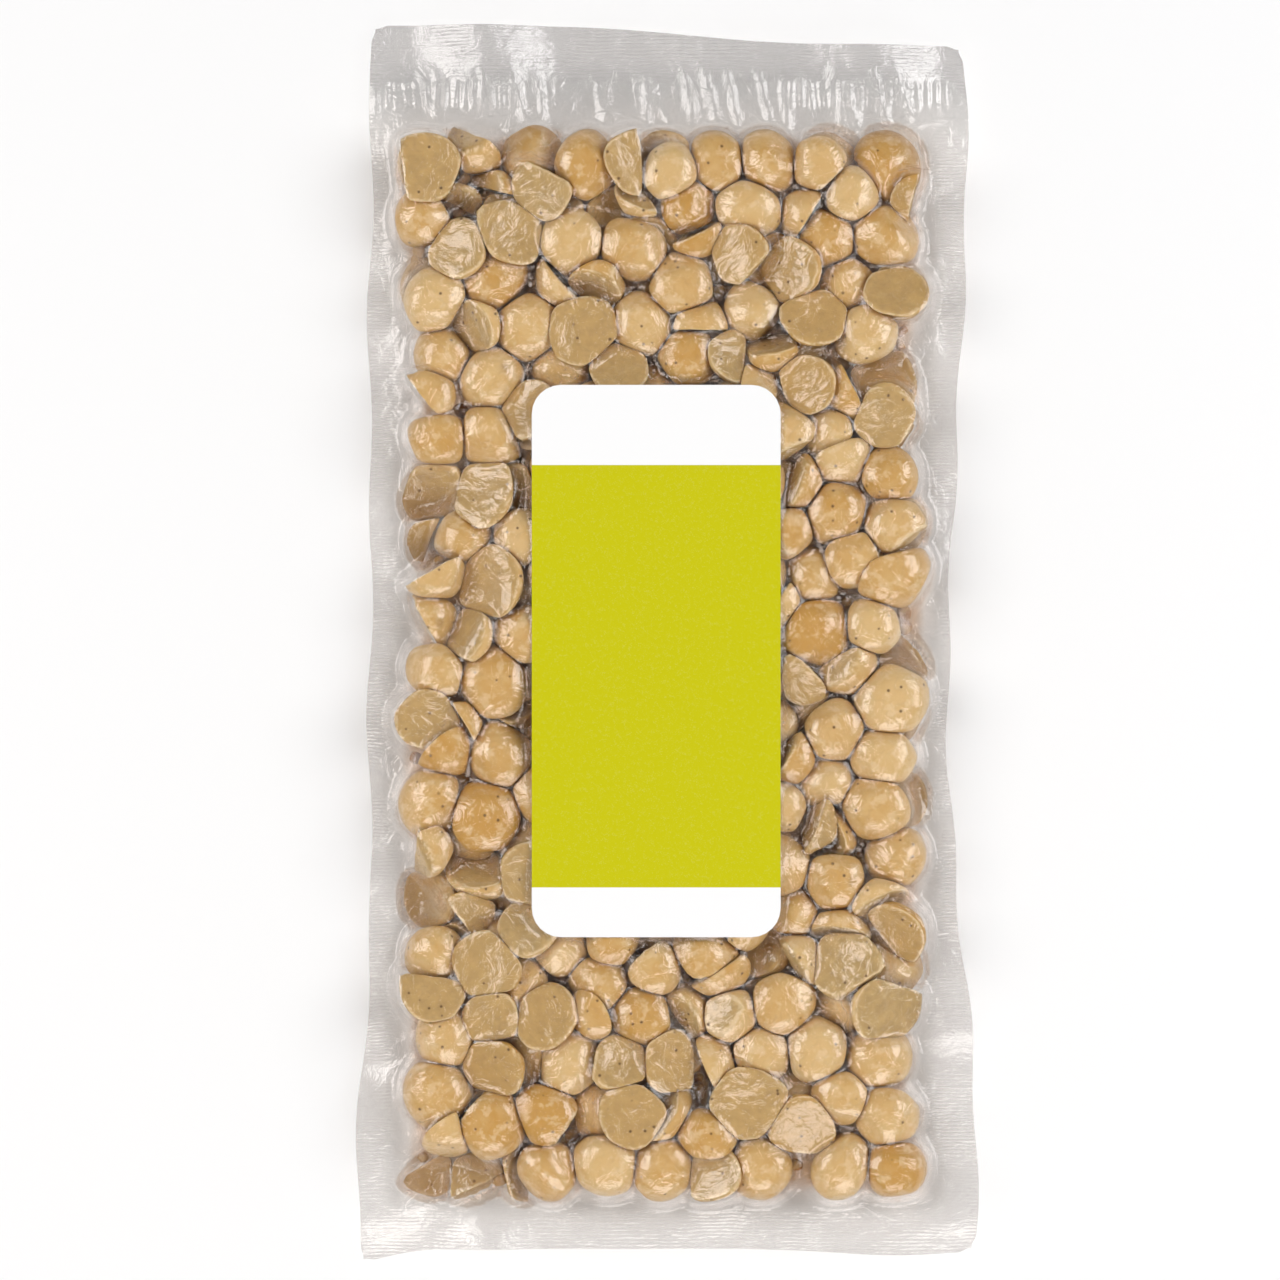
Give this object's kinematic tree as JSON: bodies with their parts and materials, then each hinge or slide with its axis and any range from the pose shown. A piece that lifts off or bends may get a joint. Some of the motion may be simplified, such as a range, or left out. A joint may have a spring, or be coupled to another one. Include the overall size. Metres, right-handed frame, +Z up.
{
  "type": "vacuum-sealed pouch of nut kernels",
  "caption": "Clear flexible pouch, shrunk by vacuum over a bed of loose nut kernels, with wide flat seals all round and a rounded label on the front; keeps the kernels airtight.",
  "frame": {"origin": "under the middle of the pouch's outline, on the surface that it lies on", "axes": "+Y along the pouch to its open lip, +X to the label's right, +Z up through the front film"},
  "size_m": [0.155, 0.3082, 0.0169],
  "materials": {
    "film": "clear glossy laminate, milky where it is welded",
    "kernel": "pale waxy nut flesh, semi-matt, with a duller grain on broken faces",
    "label": "coated paper with a lime middle band between two white bands"
  },
  "bodies": {
    "root": {"back_film": "film", "front_film": "film", "kernels_01": "kernel", "kernels_02": "kernel", "kernels_03": "kernel", "kernels_04": "kernel", "kernels_05": "kernel", "kernels_06": "kernel", "kernels_07": "kernel", "kernels_08": "kernel", "kernels_09": "kernel", "kernels_10": "kernel", "kernels_11": "kernel", "kernels_12": "kernel", "kernels_13": "kernel", "kernels_14": "kernel", "kernels_15": "kernel", "kernels_16": "kernel", "kernels_17": "kernel", "kernels_18": "kernel", "kernels_19": "kernel", "kernels_20": "kernel", "kernels_21": "kernel", "kernels_22": "kernel", "kernels_23": "kernel", "kernels_24": "kernel", "kernels_25": "kernel", "kernels_26": "kernel", "kernels_27": "kernel", "kernels_28": "kernel", "kernels_29": "kernel", "kernels_30": "kernel", "kernels_31": "kernel", "kernels_32": "kernel", "kernels_33": "kernel", "kernels_34": "kernel", "kernels_35": "kernel", "kernels_36": "kernel", "kernels_37": "kernel", "kernels_38": "kernel", "kernels_39": "kernel", "kernels_40": "kernel", "kernels_41": "kernel", "kernels_42": "kernel", "kernels_43": "kernel", "kernels_44": "kernel", "kernels_45": "kernel", "kernels_46": "kernel", "kernels_47": "kernel", "kernels_48": "kernel", "kernels_49": "kernel", "kernels_50": "kernel", "kernels_51": "kernel", "kernels_52": "kernel", "label": "label"}
  },
  "joints": []
}
